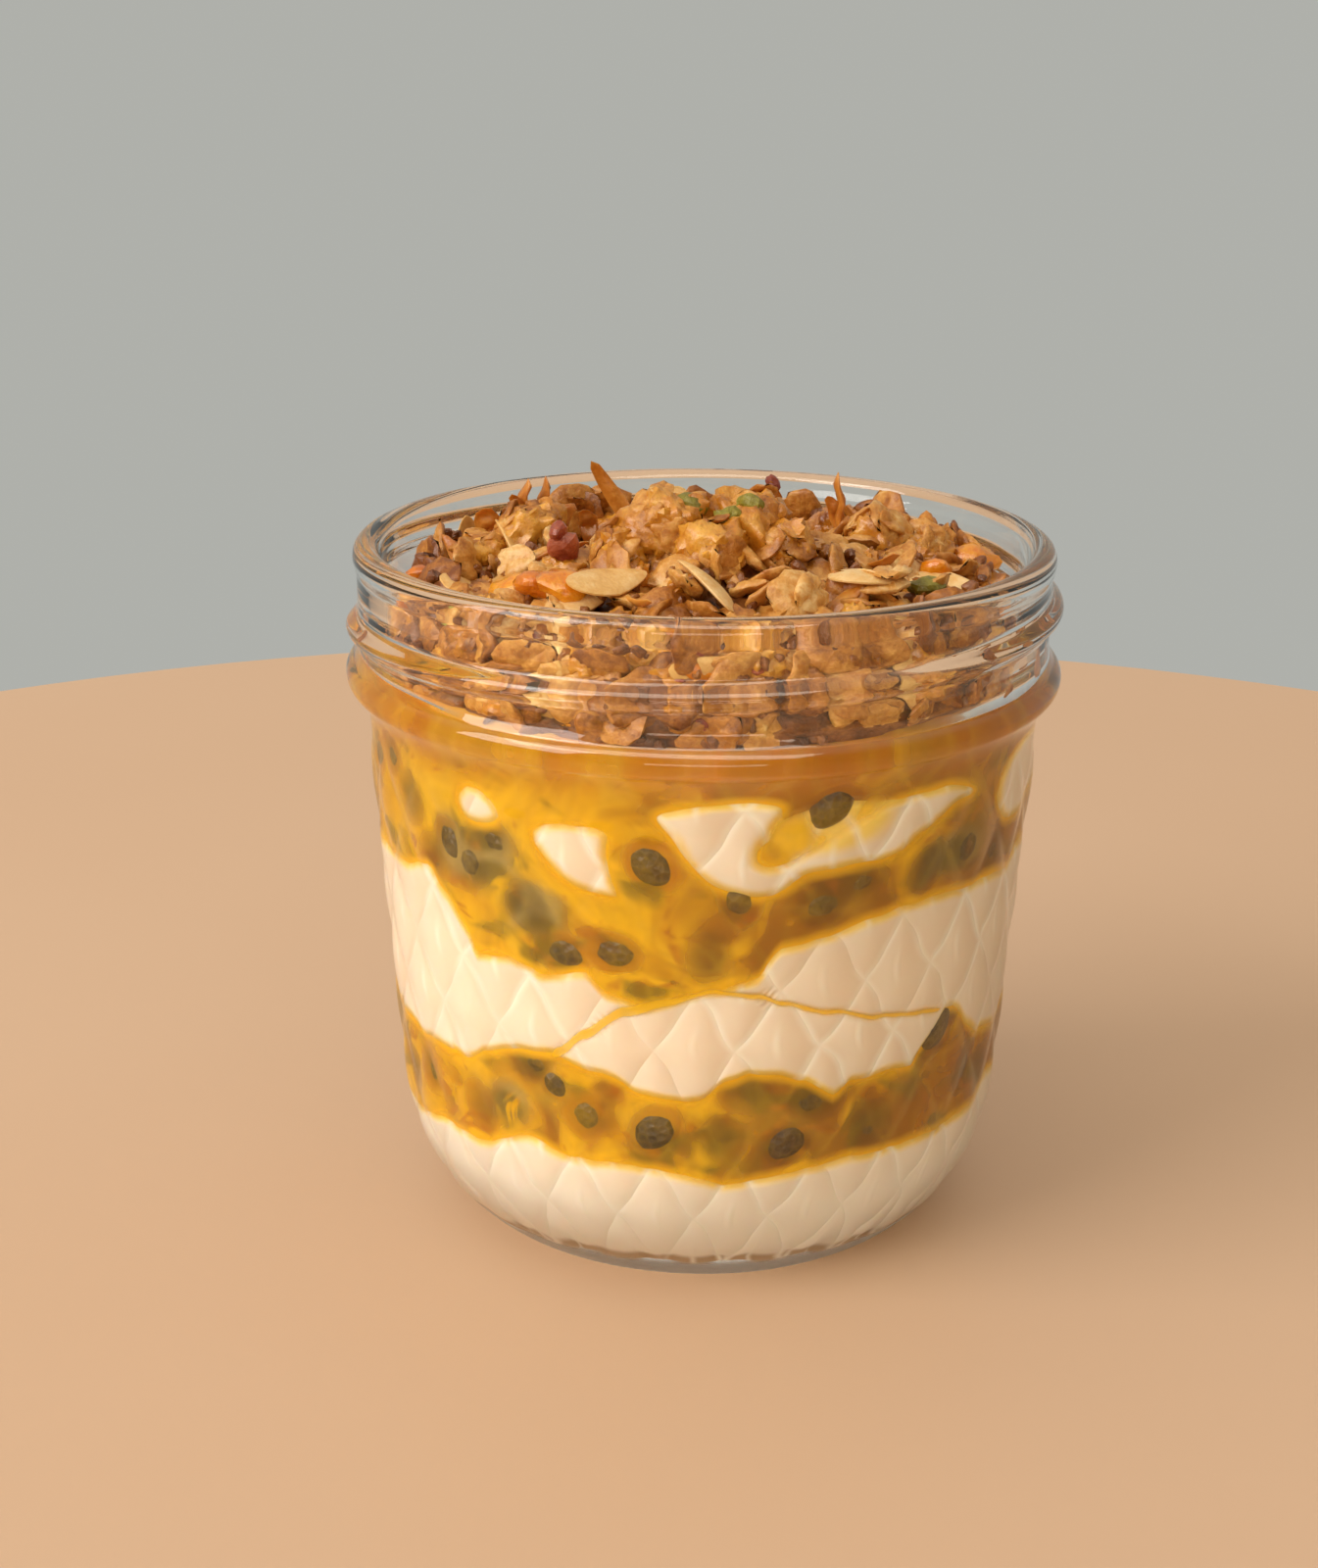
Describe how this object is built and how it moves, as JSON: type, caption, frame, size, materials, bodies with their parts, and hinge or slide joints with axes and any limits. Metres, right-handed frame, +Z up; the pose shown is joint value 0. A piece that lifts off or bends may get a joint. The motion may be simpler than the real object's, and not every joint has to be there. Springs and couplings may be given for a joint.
{
  "type": "yogurt parfait in a glass jar",
  "caption": "Breakfast parfait of plain yogurt and passion fruit pulp in layers under a heap of oat granola, served in a quilted screw-top glass jar.",
  "frame": {"origin": "centre of the jar's foot, on the surface that it stands on", "axes": "+Z up along the jar's axis; -Y towards the front of the parfait, the side that the layer heights are given for; +X to its right"},
  "size_m": [0.0844, 0.0844, 0.0903],
  "materials": {
    "glass": "clear pressed glass, smooth and glossy",
    "yogurt": "stands for plain yogurt: thick, soft cream white, slightly moist",
    "passion_fruit": "stands for passion fruit pulp: wet yellow to amber jelly with dark seeds",
    "granola": "stands for baked oat granola: golden brown with a slight honey shine"
  },
  "bodies": {
    "root": {"jar": "glass", "yogurt_bottom": "yogurt", "passion_fruit_lower": "passion_fruit", "yogurt_middle": "yogurt", "passion_fruit_upper": "passion_fruit", "yogurt_top": "yogurt", "granola": "granola"}
  },
  "joints": []
}
